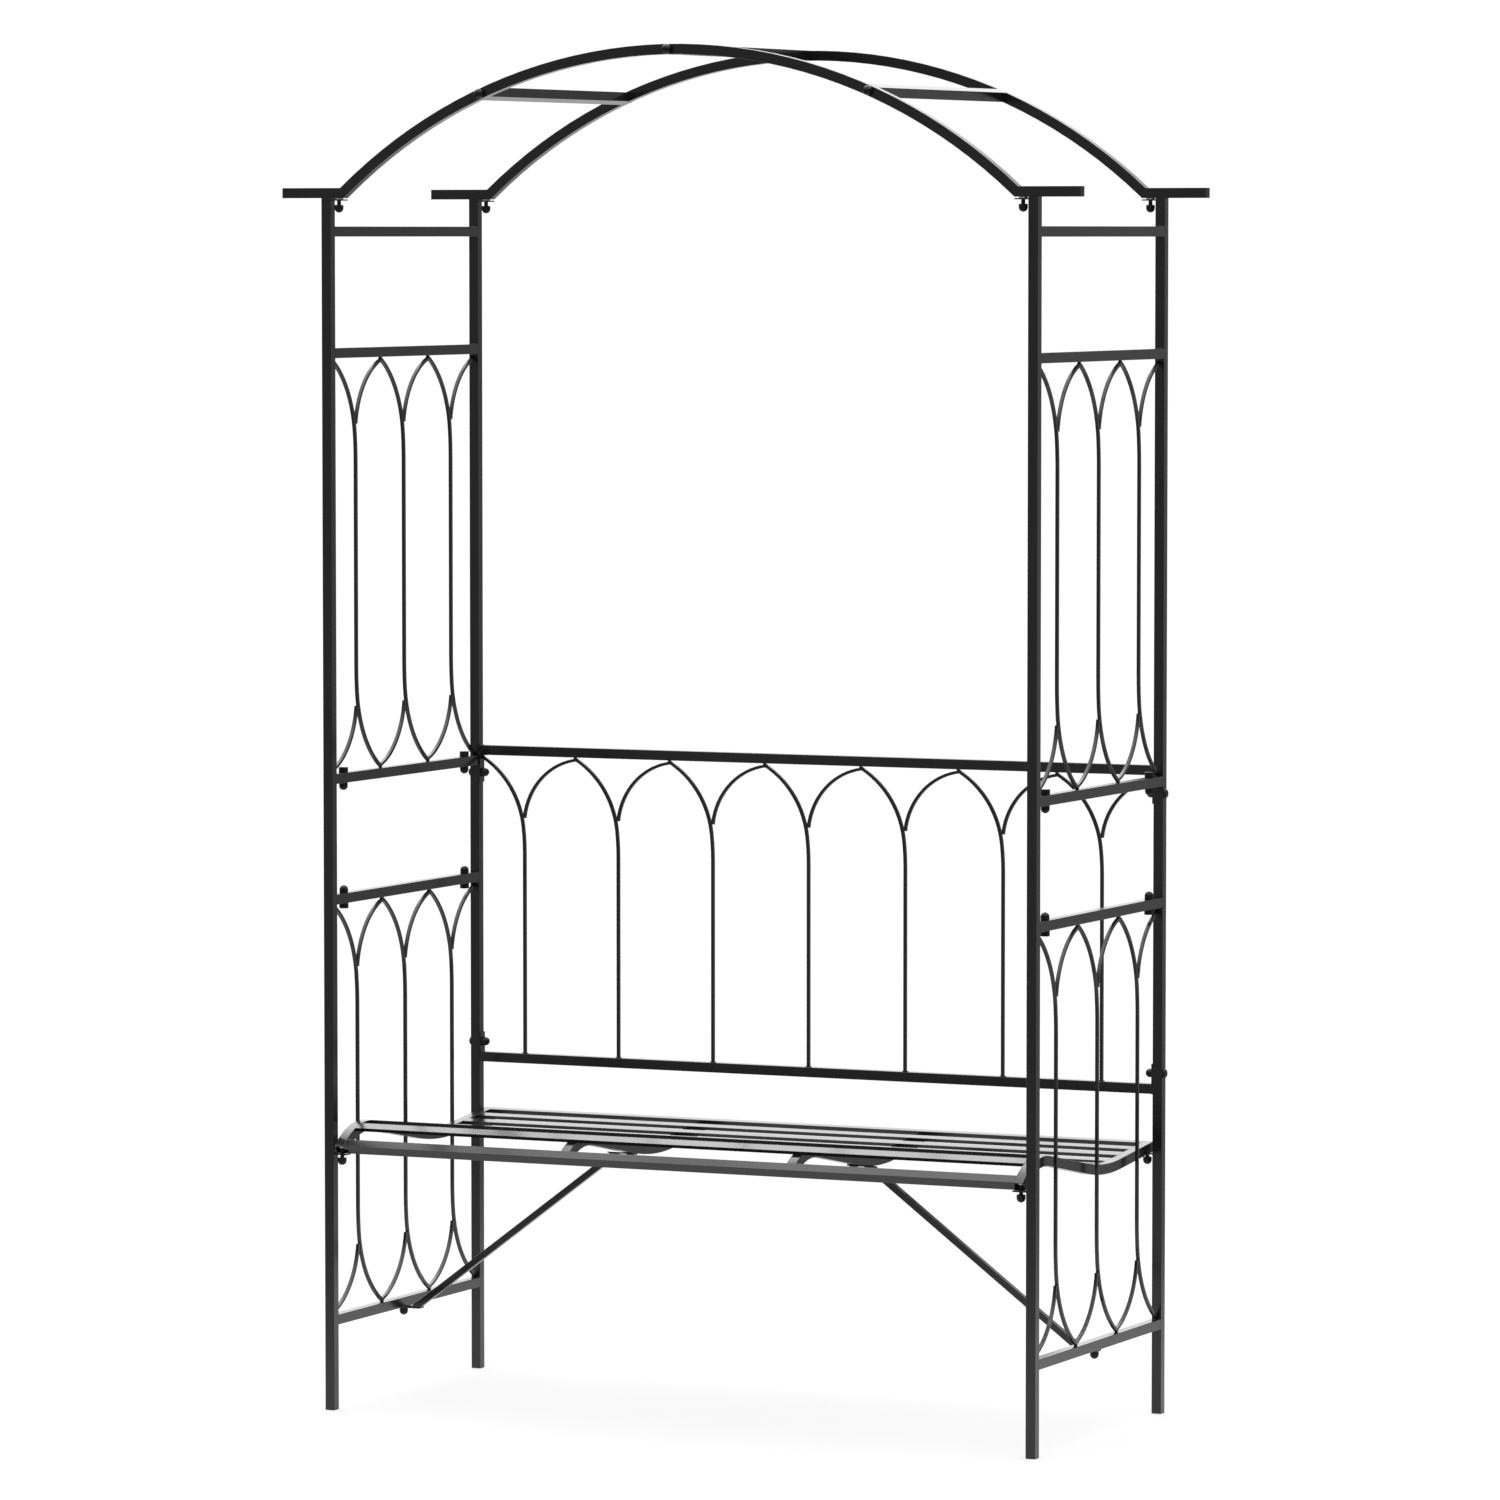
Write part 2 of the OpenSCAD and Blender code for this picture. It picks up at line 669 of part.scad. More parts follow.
module backrest_long_bars() {
    run = back_pitch / 2 + back_bar_shift;
    low = back_low_z + half;
    high = back_top_z - half;
    color(STEEL) upright_front(post_y) intersection() {
        for (i = [0:back_bars - 1]) translate([bar_place(i, back_bars, back_pitch, back_bar_shift), 0, 0]) {
            plumb_bar(low, high - end_gap - bend_rise(run));
            translate([0, high, 0]) bent_end(run);
        }
        panel_space(back_reach, low, high);
    }
}

module backrest_short_arcs() {
    run = back_pitch / 2 - back_bar_shift;
    long_run = back_pitch / 2 + back_bar_shift;
    high = back_top_z - half;
    color(STEEL) upright_front(post_y) intersection() {
        for (i = [0:back_bars - 1]) translate([bar_place(i, back_bars, back_pitch, back_bar_shift), high, 0])
            short_arc(run, long_run, back_pitch, back_arc, back_arc_drop, i == back_bars - 1);
        panel_space(back_reach, back_low_z, high);
    }
}

// A plate on the post's inner face, from low up to high, with its bolt's hole
module back_tab(low, high, bolt_z) {
    difference() {
        translate([-tab_t, -half, low]) cube([tab_t, tube, high - low]);
        translate([0, 0, bolt_z]) rotate([0, 90, 0]) screw_hole(4 * tab_t);
    }
}

module backrest_tabs() {
    top_end = back_top_z + half;
    low_end = back_low_z - half;
    color(STEEL) for (sx = [LEFT, RIGHT]) at_post(sx, REAR, 0) {
        back_tab(top_end - back_tab_top, top_end, back_bolt_top_z());
        back_tab(low_end, low_end + back_tab_low, back_bolt_low_z());
    }
}

// Children point from outside the rear post inwards, at each of the four bolts
module back_bolt_places(x) {
    for (sx = [LEFT, RIGHT], z = [back_bolt_top_z(), back_bolt_low_z()])
        translate([sx * x, post_y, z]) rotate([0, -90 * sx, 0]) children();
}

module backrest_bolts() {
    color(STEEL) back_bolt_places(post_x + half) low_screw(tube + tab_t + dome_h - dome_d / 2);
}

module backrest_dome_nuts() {
    color(STEEL) back_bolt_places(back_reach) mirror([0, 0, 1]) dome_nut(dome_h - dome_d / 2 + bore_over);
}

// ---- Seat -------------------------------------------------------------------------------------------------
// Drawn flat: X is the seat's Y and Y is its height.

// Place on the seat curve at a distance from the rear rail's centre: [Y, Z, slope]
function seat_at(s) =
    s <= rear_len ?
        [post_y - s * cos(rear_slope), rear_rail_z - s * sin(rear_slope), rear_slope] :
    s <= rear_len + dip_len ?
        on_dip(rear_slope - (s - rear_len) / dip_r * 180 / PI) :
    s <= rear_len + dip_len + fore_len ?
        [fore_y - (s - rear_len - dip_len) * cos(front_slope),
         fore_z + (s - rear_len - dip_len) * sin(front_slope), -front_slope] :
        on_roll(-front_slope + (s - rear_len - dip_len - fore_len) / roll_r * 180 / PI);
function on_dip(a) = [dip_y + dip_r * sin(a), dip_z + dip_r * (1 - cos(a)), a];
function on_roll(a) = [crest_y - roll_r * sin(a), crest_z - roll_r * (1 - cos(a)), a];

// Height and slope of the seat curve over a given Y, behind the front roll
function seat_on(y) =
    y > rear_y ? [rear_z + (y - rear_y) * tan(rear_slope), rear_slope] :
    y > fore_y ? [dip_z + dip_r * (1 - cos(asin((y - dip_y) / dip_r))), asin((y - dip_y) / dip_r)] :
        [fore_z + (fore_y - y) * tan(front_slope), -front_slope];

// A seat rail's bent tube, set below the seat curve by the drop, from rear_over behind the rear rail's centre
module seat_bend(drop, rear_over) {
    dip = dip_r + drop;
    roll = roll_r - drop;
    roll_centre = [crest_y, crest_z - roll_r, 0];
    dip_centre = [dip_y, dip_z + dip_r, 0];
    translate(dip_centre) rotate([0, 0, rear_slope]) translate([0, -dip, 0])
        tube_into_bend(rear_len + rear_over);
    translate(dip_centre) rotate([0, 0, -90 - front_slope]) tube_bend(dip, front_slope + rear_slope);
    translate(dip_centre) rotate([0, 0, -front_slope]) translate([-fore_len, -dip, 0])
        tube_into_bend(fore_len, lap);
    translate(roll_centre) rotate([0, 0, 90 - front_slope]) tube_bend(roll, front_slope + edge_slope);
}

module seat_end_rail(sx) {
    difference() {
        upright_side(sx * seat_rail_x) {
            seat_bend(0, half);
            translate([-post_y, edge_z, 0]) rotate([0, 0, 180 + edge_slope]) tube_into_bend(half);
        }
        for (end = [[FRONT, edge_z], [REAR, rear_rail_z]])
            translate([sx * seat_rail_x, end[0] * post_y, end[1] - tube / 2]) screw_hole(tube);
    }
}

module seat_mid_rail(sx) {
    difference() {
        upright_side(sx * mid_rail_x) difference() {
            seat_bend(mid_rail_drop, -half);
            translate([-post_y, edge_z, 0]) rotate([0, 0, edge_slope])
                translate([half - cut, -cut / 2, -cut / 2]) cube(cut);
        }
        under_mid_rail(sx) screw_hole(tube);
    }
}

// Children at the braces' upper screw, at the intermediate rail's underside and square to it
module under_mid_rail(sx) {
    translate([sx * mid_rail_x, brace_y, brace_head[0]]) rotate([brace_head[1], 0, 0])
        translate([0, 0, -half - mid_rail_drop]) scale_x(sx) children();
}

module seat_end_rail_left() { color(STEEL) seat_end_rail(LEFT); }
module seat_end_rail_right() { color(STEEL) seat_end_rail(RIGHT); }
module seat_mid_rail_left() { color(STEEL) seat_mid_rail(LEFT); }
module seat_mid_rail_right() { color(STEEL) seat_mid_rail(RIGHT); }

module seat_cross_rail(y, z, slope) {
    translate([-seat_inner_x, y, z]) rotate([slope, 0, 0]) tube_along_x(2 * seat_inner_x);
}

module seat_rear_rail() { color(STEEL) seat_cross_rail(post_y, rear_rail_z, rear_slope); }
module seat_front_rail() { color(STEEL) seat_cross_rail(-post_y, edge_z, edge_slope); }

module seat_slats() {
    step = seat_len / (slats + 1);
    color(STEEL) for (i = [1:slats]) let (p = seat_at(i * step))
        translate([0, p[0], p[1]]) rotate([p[2], 0, 0])
            translate([-seat_inner_x, -slat_w / 2, half - slat_t]) cube([2 * seat_inner_x, slat_w, slat_t]);
}

module seat_tabs() {
    color(STEEL) for (sx = [LEFT, RIGHT]) {
        at_post(sx, FRONT, front_tab_z) corner_tab(post_x - seat_rail_x);
        at_post(sx, REAR, rear_tab_z) corner_tab(post_x - seat_rail_x);
    }
}

// A seat's corner screw, from its head below the tab up through the nut at the rail's centre
module seat_screw(tab_z, rail_z) {
    head_z = tab_z - tab_t - seat_screw_gap;
    translate([0, 0, head_z]) dome_screw(rail_z + nut_h / 2 - head_z);
}

module seat_screws() {
    color(STEEL) for (sx = [LEFT, RIGHT]) translate([sx * seat_rail_x, 0, 0]) {
        translate([0, -post_y, 0]) seat_screw(front_tab_z, edge_z);
        translate([0, post_y, 0]) seat_screw(rear_tab_z, rear_rail_z);
    }
}

module seat_nuts() {
    color(ZINC) for (sx = [LEFT, RIGHT], end = [[FRONT, edge_z], [REAR, rear_rail_z]])
        translate([sx * seat_rail_x, end[0] * post_y, end[1] - nut_h / 2]) round_nut(nut_d, nut_h);
}

// ---- Braces -----------------------------------------------------------------------------------------------

module brace(sx) {
    scale_x(sx) difference() {
        translate([brace_foot_x, brace_y, brace_foot_z]) rotate([0, -atan2(brace_run, brace_rise), 0])
            translate([0, 0, -brace_tube]) linear_extrude(brace_len + 2 * brace_tube)
            tube_section(brace_tube, brace_wall, brace_wall);
        translate([brace_foot_x, brace_y, brace_foot_z - cut / 2]) cube(cut, center = true);
        translate([brace_head_x, brace_y, brace_head_z]) rotate([brace_head[1], 0, 0])
            translate([0, 0, cut / 2]) cube(cut, center = true);
    }
}

module brace_left() { color(STEEL) brace(LEFT); }
module brace_right() { color(STEEL) brace(RIGHT); }

// A brace's tab: a plate under its rail that reaches past the brace's end, top face at the origin's height
module brace_tab(reach) {
    difference() {
        translate([-half, -half, -tab_t]) cube([half + reach, tube, tab_t]);
        screw_hole(4 * tab_t);
    }
}

function brace_slot() = brace_tube / 2 / cos(atan2(brace_run, brace_rise));

module brace_tabs() {
    color(STEEL) for (sx = [LEFT, RIGHT]) {
        translate([sx * post_x, brace_y, brace_foot_z]) scale_x(-sx) brace_tab(brace_foot_in + brace_slot());
        under_mid_rail(sx) brace_tab(brace_head_out + brace_slot());
    }
}

module brace_screws() {
    len = tab_t + tube_wall + fit + nut_h;
    color(STEEL) for (sx = [LEFT, RIGHT]) {
        translate([sx * post_x, brace_y, brace_foot_z - tab_t]) dome_screw(len);
        under_mid_rail(sx) translate([0, 0, -tab_t]) dome_screw(len);
    }
}

module brace_nuts() {
    rest = tube_wall + fit;
    color(ZINC) for (sx = [LEFT, RIGHT]) {
        translate([sx * post_x, brace_y, brace_foot_z + rest]) round_nut(nut_d, nut_h);
        under_mid_rail(sx) translate([0, 0, rest]) round_nut(nut_d, nut_h);
    }
}

// ---- Drawing ----------------------------------------------------------------------------------------------

post_front_left();
post_front_right();
post_rear_left();
post_rear_right();
foot_plugs();
arch_front();
arch_rear();
arch_end_plugs();
arch_tabs();
arch_screws();
arch_rivet_nuts();
crossbar_left();
crossbar_top();
crossbar_right();
crossbar_inserts();
crossbar_bolts();
left_top_rail();
left_upper_panel_top_rail();
left_upper_panel_bottom_rail();
left_lower_panel_top_rail();
left_lower_panel_bottom_rail();
right_top_rail();
right_upper_panel_top_rail();
right_upper_panel_bottom_rail();
right_lower_panel_top_rail();
right_lower_panel_bottom_rail();
left_upper_long_bars();
left_lower_long_bars();
right_upper_long_bars();
right_lower_long_bars();
left_upper_short_arcs();
left_lower_short_arcs();
right_upper_short_arcs();
right_lower_short_arcs();
rail_tongues();
rail_bolts();
rail_nuts();
backrest_top_rail();
backrest_bottom_rail();
backrest_long_bars();
backrest_short_arcs();
backrest_tabs();
backrest_bolts();
backrest_dome_nuts();
seat_end_rail_left();
seat_end_rail_right();
seat_mid_rail_left();
seat_mid_rail_right();
seat_rear_rail();
seat_front_rail();
seat_slats();
seat_tabs();
seat_screws();
seat_nuts();
brace_left();
brace_right();
brace_tabs();
brace_screws();
brace_nuts();
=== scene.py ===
import math

import bpy
import numpy as np
from bpy.props import FloatProperty, FloatVectorProperty, PointerProperty
from bpy.types import Operator, Panel, PropertyGroup
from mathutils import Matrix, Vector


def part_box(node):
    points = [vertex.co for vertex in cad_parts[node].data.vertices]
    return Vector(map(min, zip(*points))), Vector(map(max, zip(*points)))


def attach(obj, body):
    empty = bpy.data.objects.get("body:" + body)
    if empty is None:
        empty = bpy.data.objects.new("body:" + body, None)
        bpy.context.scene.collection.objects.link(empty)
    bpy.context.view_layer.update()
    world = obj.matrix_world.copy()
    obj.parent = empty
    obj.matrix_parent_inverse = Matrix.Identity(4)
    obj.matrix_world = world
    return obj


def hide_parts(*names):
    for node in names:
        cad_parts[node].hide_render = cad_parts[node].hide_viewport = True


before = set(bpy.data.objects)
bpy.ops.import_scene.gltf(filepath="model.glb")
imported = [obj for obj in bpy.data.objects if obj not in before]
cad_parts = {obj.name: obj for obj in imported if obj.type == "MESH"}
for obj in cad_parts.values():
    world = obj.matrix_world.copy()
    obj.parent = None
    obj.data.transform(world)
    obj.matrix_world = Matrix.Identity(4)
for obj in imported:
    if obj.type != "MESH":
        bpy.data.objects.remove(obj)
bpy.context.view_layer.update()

bl_info = {
    "name": "Garden arch with a bench",
    "version": (1, 0, 0),
    "blender": (4, 5, 0),
    "location": "3D View > Sidebar > Garden arch",
    "description": "Finishes, plugs, weld beads and a studio for a powder-coated garden arch with a bench",
    "category": "Object",
}

MM = 0.001

SMOOTH_ANGLE = math.radians(40)      # edges sharper than this stay sharp on the moulded and welded pieces

PLUG_POWER = 28                      # power of a plug's superellipse, near a square
PLUG_POINTS = 64                     # points round a plug
PLUG_EDGE_RINGS = 6                  # rings over a plug's rounded outer edge
SPIGOT_STEP = 1.3 * MM               # from the flange in to the spigot: the tube's wall and a little room

BEAD_INSET = 2 * MM                  # from a tube's corner to the end of a bead
BEAD_RINGS = 22                      # rings along a bead
BEAD_POINTS = 10                     # points round a bead
BEAD_RIPPLES = 9                     # half waves of the ripple in half a bead
BEAD_CUT = 0.985                     # where a bead's closing face lies, as a share of its half length
BAR_REACH = 0.9 * MM                 # a bar's end lies no further than this from the rail's face
BAR_GAP = 4 * MM                     # a wider gap than this parts two bars' ends

FLOOR_POINTS = 96                    # points round the floor's rim
FLOOR_SOLID_SHARE = 0.2              # share of the floor's radius inside which it doesn't fade
FRONT_LIGHT_HIGH_SHARE = 0.5         # brightness of the front light higher up, as a share of its own

PLUG_NODES = ("foot_plugs", "arch_end_plugs")
HIDDEN_STEEL_NODES = ("arch_rivet_nuts", "crossbar_inserts", "seat_nuts", "brace_nuts")
FASTENER_NODES = (
    "arch_screws", "crossbar_bolts", "rail_bolts", "rail_nuts", "backrest_bolts", "backrest_dome_nuts",
    "seat_screws", "brace_screws",
)
INFILL_NODES = tuple(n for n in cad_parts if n.endswith(("_long_bars", "_short_arcs")))
SEAT_NODES = tuple(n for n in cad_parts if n.startswith("seat_") and n != "seat_screws"
                   and n not in HIDDEN_STEEL_NODES)


# ---- Settings -----------------------------------------------------------------------------------------

class ArchCoatSettings(PropertyGroup):
    color: FloatVectorProperty(
        name="Coat colour", description="Colour of the powder coat", subtype="COLOR",
        default=(0.0045, 0.0045, 0.0047), min=0, max=1)
    # Painted highlight: this lighter colour is painted along every edge of the coat, standing in for the
    # light the edges catch.
    edge_highlight_color: FloatVectorProperty(
        name="Edge highlight colour", description="Lighter colour painted on the edges as a highlight", subtype="COLOR",
        default=(0.007, 0.007, 0.0073), min=0, max=1)
    roughness: FloatProperty(
        name="Roughness", description="Roughness of the coat", subtype="FACTOR", default=0.2, min=0, max=1)
    grain: FloatProperty(
        name="Grain", description="Size of the coat's fine waves", subtype="DISTANCE", default=1.6 * MM)
    edge_radius: FloatProperty(
        name="Edge radius", description="Softness of the bars' edges", subtype="DISTANCE", default=0.35 * MM)


class ArchFastenerSettings(PropertyGroup):
    color: FloatVectorProperty(
        name="Fastener colour", description="Colour of the blackened screws and nuts", subtype="COLOR",
        default=(0.006, 0.006, 0.0065), min=0, max=1)
    zinc_color: FloatVectorProperty(
        name="Zinc colour", description="Colour of the plated nuts inside the tubes", subtype="COLOR",
        default=(0.58, 0.60, 0.62), min=0, max=1)
    roughness: FloatProperty(
        name="Roughness", description="Roughness of the fasteners", subtype="FACTOR",
        default=0.3, min=0, max=1)


class ArchPlugSettings(PropertyGroup):
    color: FloatVectorProperty(
        name="Plug colour", description="Colour of the moulded plugs", subtype="COLOR",
        default=(0.007, 0.007, 0.007), min=0, max=1)
    edge: FloatProperty(
        name="Plug edge", description="Radius of a plug's outer edge", subtype="DISTANCE", default=0.7 * MM)
    flange: FloatProperty(
        name="Plug flange", description="Thickness of a plug's flange", subtype="DISTANCE", default=1.6 * MM)


class ArchWeldSettings(PropertyGroup):
    bead: FloatProperty(
        name="Bead", description="Radius of a weld bead on the frame tubes", subtype="DISTANCE",
        default=0.9 * MM)
    fine_bead: FloatProperty(
        name="Fine bead", description="Radius of a weld bead on the infill bars", subtype="DISTANCE",
        default=1.1 * MM)
    fine_length: FloatProperty(
        name="Fine bead length", description="Length of a weld bead at a bar's end", subtype="DISTANCE",
        default=6.0 * MM)
    ripple: FloatProperty(
        name="Ripple", description="Depth of a bead's ripples, as a share of its radius", subtype="FACTOR",
        default=0.12, min=0, max=0.4)


class ArchStudioSettings(PropertyGroup):
    floor_color: FloatVectorProperty(
        name="Floor colour", description="Colour of the studio floor", subtype="COLOR",
        default=(0.2, 0.2, 0.2), min=0, max=1)
    floor_glow: FloatProperty(
        name="Floor glow", description="Light that comes through the floor from below, as from a light table",
        default=0.64)
    floor_radius: FloatProperty(
        name="Floor radius", description="Radius of the studio floor", subtype="DISTANCE", default=2.9)
    back_light: FloatProperty(
        name="Back light", description="Brightness added behind the arch on its left", default=0.66)
    high_light: FloatProperty(
        name="High light", description="Brightness added behind the arch on its left, higher up", default=1.9)
    front_light: FloatProperty(
        name="Front light", description="Brightness of the studio in front of the arch", default=0.38)
    top_light: FloatProperty(
        name="Top light", description="Brightness added overhead", default=2.8)
    camera_place: FloatVectorProperty(
        name="Camera place", description="Place of the camera", subtype="TRANSLATION", unit="LENGTH",
        default=(4.9114, -10.6038, 1.7429))
    camera_azimuth: FloatProperty(
        name="Camera azimuth", description="Turn of the camera about the vertical", subtype="ANGLE",
        default=math.radians(24.812))
    camera_tilt: FloatProperty(
        name="Camera tilt", description="Tilt of the camera below the horizon", subtype="ANGLE",
        default=math.radians(3.7202))
    lens: FloatProperty(name="Lens", description="Focal length in millimetres", default=190.5)


class ArchSettings(PropertyGroup):
    coat: PointerProperty(type=ArchCoatSettings)
    fasteners: PointerProperty(type=ArchFastenerSettings)
    plugs: PointerProperty(type=ArchPlugSettings)
    welds: PointerProperty(type=ArchWeldSettings)
    studio: PointerProperty(type=ArchStudioSettings)


# ---- Surfaces -----------------------------------------------------------------------------------------

def grid_faces(rows, columns):
    """Quads between neighbouring rings, each ring closed on itself, as index arithmetic on a grid of rows and
    columns."""
    row, column = np.meshgrid(np.arange(rows - 1), np.arange(columns), indexing="ij")
    after = (column + 1) % columns
    quads = np.stack([row * columns + column, row * columns + after,
                      (row + 1) * columns + after, (row + 1) * columns + column], axis=-1)
    return quads.reshape(-1, 4)


def tube_piece(name, rings):
    """Mesh of many closed bodies. rings has the shape (bodies, rows, columns, 3): each body is rows rings of
    columns points, joined by quads, with its first and last ring closed by a flat face."""
    bodies, rows, columns, _ = rings.shape
    quads = grid_faces(rows, columns)
    first = np.arange(columns)[::-1]
    last = (rows - 1) * columns + np.arange(columns)
    faces = []
    for start in np.arange(bodies) * rows * columns:
        faces += (quads + start).tolist() + [(first + start).tolist(), (last + start).tolist()]
    mesh = bpy.data.meshes.new(name)
    mesh.from_pydata(rings.reshape(-1, 3), [], faces)
    mesh.shade_smooth()
    mesh.set_sharp_from_angle(angle=SMOOTH_ANGLE)
    mesh.update()
    piece = bpy.data.objects.new(name, mesh)
    bpy.context.scene.collection.objects.link(piece)
    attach(piece, "root")
    return piece


def basis(along):
    """For each unit vector along, two unit vectors square to it and to each other, by cross products."""
    helper = np.where(np.abs(along[:, 2:3]) < 0.9, [[0.0, 0.0, 1.0]], [[1.0, 0.0, 0.0]])
    side = np.cross(along, helper)
    side /= np.linalg.norm(side, axis=1, keepdims=True)
    return side, np.cross(along, side)


def plug_rings(centres, outwards, half, edge, flange, depth):
    """Moulded plugs. The section is the superellipse |x|^n + |y|^n = h^n with n of PLUG_POWER, a square with
    small round corners, carried inwards from the outer face. Its half size h grows over the outer edge as a
    quarter circle of the edge radius, stays at the tube's half size over the flange, then steps in to the
    spigot."""
    turn = np.linspace(0, 2 * np.pi, PLUG_POINTS, endpoint=False)
    powers = np.abs(np.cos(turn)) ** PLUG_POWER + np.abs(np.sin(turn)) ** PLUG_POWER
    reach = powers ** (-1 / PLUG_POWER)
    quarter = np.linspace(0, np.pi / 2, PLUG_EDGE_RINGS)
    spigot_half = half - SPIGOT_STEP
    height = np.concatenate([edge * (1 - np.cos(quarter)), [flange, flange, depth - edge, depth]])
    size = np.concatenate([half - edge + edge * np.sin(quarter),
                           [half, spigot_half, spigot_half, spigot_half - edge]])
    inwards = -np.asarray(outwards, float)
    side, up = basis(inwards)
    u = (size[:, None] * (reach * np.cos(turn))[None, :])[None, :, :, None]
    v = (size[:, None] * (reach * np.sin(turn))[None, :])[None, :, :, None]
    return (np.asarray(centres)[:, None, None, :] + height[None, :, None, None] * inwards[:, None, None, :]
            + u * side[:, None, None, :] + v * up[:, None, None, :])


def bead_rings(starts, ends, radii, ripple):
    """Weld beads. A round section of radius r * (1 - |s|^6)^(1/2) * (1 + ripple * sin(pi BEAD_RIPPLES s)) is
    carried along the straight seam. Along it s runs from just above -1 to just below 1, so that a bead is
    rippled and closes softly at its ends."""
    starts, ends, radii = (np.asarray(a, float) for a in (starts, ends, radii))
    length = np.linalg.norm(ends - starts, axis=1)
    along = (ends - starts) / length[:, None]
    side, up = basis(along)
    s = np.linspace(-BEAD_CUT, BEAD_CUT, BEAD_RINGS)
    turn = np.linspace(0, 2 * np.pi, BEAD_POINTS, endpoint=False)
    swell = np.sqrt(1 - np.abs(s) ** 6)[None, :] * (1 + ripple * np.sin(BEAD_RIPPLES * np.pi * s))[None, :]
    r = (radii[:, None] * swell)[:, :, None, None]
    middle = (starts + ends) / 2
    travel = (length[:, None] / 2 * s[None, :])[:, :, None, None]
    line = middle[:, None, None, :] + travel * along[:, None, None, :]
    return (line + r * np.cos(turn)[None, None, :, None] * side[:, None, None, :]
            + r * np.sin(turn)[None, None, :, None] * up[:, None, None, :])


# ---- Materials ----------------------------------------------------------------------------------------

def coated_surface_group():
    """Shader group for every surface of the arch: a cloudy shift of colour and roughness, a fine grain as
    bump, and edges with a lighter colour painted on as a highlight, whose normals can be softened."""
    name = "Coated surface"
    if name in bpy.data.node_groups:
        return bpy.data.node_groups[name]
    group = bpy.data.node_groups.new(name, "ShaderNodeTree")
    face = group.interface
    for label, kind, value in (
        ("Color", "NodeSocketColor", (0.01, 0.01, 0.01, 1)),
        ("Edge Color", "NodeSocketColor", (0.02, 0.02, 0.02, 1)),
        ("Roughness", "NodeSocketFloat", 0.35),
        ("Grain Scale", "NodeSocketFloat", 700.0),
        ("Grain Height", "NodeSocketFloat", 0.00002),
        ("Cloud Scale", "NodeSocketFloat", 9.0),
        ("Edge Radius", "NodeSocketFloat", 0.0005),
        ("Softness", "NodeSocketFloat", 0.0),
    ):
        socket = face.new_socket(name=label, in_out="INPUT", socket_type=kind)
        socket.default_value = value
    for label, kind in (("Color", "NodeSocketColor"), ("Roughness", "NodeSocketFloat"),
                        ("Normal", "NodeSocketVector")):
        face.new_socket(name=label, in_out="OUTPUT", socket_type=kind)
    nodes, links = group.nodes, group.links

    def add(kind, **values):
        node = nodes.new(kind)
        for key, value in values.items():
            setattr(node, key, value)
        return node

    given, out = add("NodeGroupInput"), add("NodeGroupOutput")
    place = add("ShaderNodeTexCoord")

    cloud = add("ShaderNodeTexNoise")
    cloud.inputs["Detail"].default_value = 4
    links.new(place.outputs["Object"], cloud.inputs["Vector"])
    links.new(given.outputs["Cloud Scale"], cloud.inputs["Scale"])

    grain = add("ShaderNodeTexNoise")
    grain.inputs["Detail"].default_value = 2
    links.new(place.outputs["Object"], grain.inputs["Vector"])
    links.new(given.outputs["Grain Scale"], grain.inputs["Scale"])

    soft = add("ShaderNodeBevel", samples=4)
    links.new(given.outputs["Edge Radius"], soft.inputs["Radius"])
    true = add("ShaderNodeNewGeometry")
    likeness = add("ShaderNodeVectorMath", operation="DOT_PRODUCT")
    links.new(soft.outputs["Normal"], likeness.inputs[0])
    links.new(true.outputs["Normal"], likeness.inputs[1])
    # The less the softened normal is like the true one, the nearer the place is to an edge, where the painted
    # highlight goes.
    edge = add("ShaderNodeMapRange", clamp=True)
    edge.inputs["From Min"].default_value = 0.985
    edge.inputs["From Max"].default_value = 0.80
    links.new(likeness.outputs["Value"], edge.inputs["Value"])

    # The clouds make the colour and the roughness up to about 15 per cent lower or higher.
    shade = add("ShaderNodeMapRange")
    shade.inputs["From Min"].default_value = 0.3
    shade.inputs["From Max"].default_value = 0.7
    shade.inputs["To Min"].default_value = 0.85
    shade.inputs["To Max"].default_value = 1.15
    links.new(cloud.outputs["Fac"], shade.inputs["Value"])
    tone = add("ShaderNodeVectorMath", operation="SCALE")
    links.new(given.outputs["Color"], tone.inputs[0])
    links.new(shade.outputs["Result"], tone.inputs["Scale"])
    # Painted highlight: near the edges the colour is mixed towards the lighter edge colour.
    painted_edge_highlight = add("ShaderNodeMix", data_type="RGBA")
    links.new(edge.outputs["Result"], painted_edge_highlight.inputs["Factor"])
    links.new(tone.outputs["Vector"], painted_edge_highlight.inputs["A"])
    links.new(given.outputs["Edge Color"], painted_edge_highlight.inputs["B"])
    links.new(painted_edge_highlight.outputs["Result"], out.inputs["Color"])

    rough = add("ShaderNodeMath", operation="MULTIPLY")
    links.new(given.outputs["Roughness"], rough.inputs[0])
    links.new(shade.outputs["Result"], rough.inputs[1])
    links.new(rough.outputs["Value"], out.inputs["Roughness"])

    bump = add("ShaderNodeBump")
    bump.inputs["Distance"].default_value = 1.0
    relief = add("ShaderNodeMath", operation="MULTIPLY")
    links.new(grain.outputs["Fac"], relief.inputs[0])
    links.new(given.outputs["Grain Height"], relief.inputs[1])
    links.new(relief.outputs["Value"], bump.inputs["Height"])
    eased = add("ShaderNodeMix", data_type="VECTOR")
    links.new(given.outputs["Softness"], eased.inputs["Factor"])
    links.new(true.outputs["Normal"], eased.inputs["A"])
    links.new(soft.outputs["Normal"], eased.inputs["B"])
    links.new(eased.outputs["Result"], bump.inputs["Normal"])
    links.new(bump.outputs["Normal"], out.inputs["Normal"])
    return group


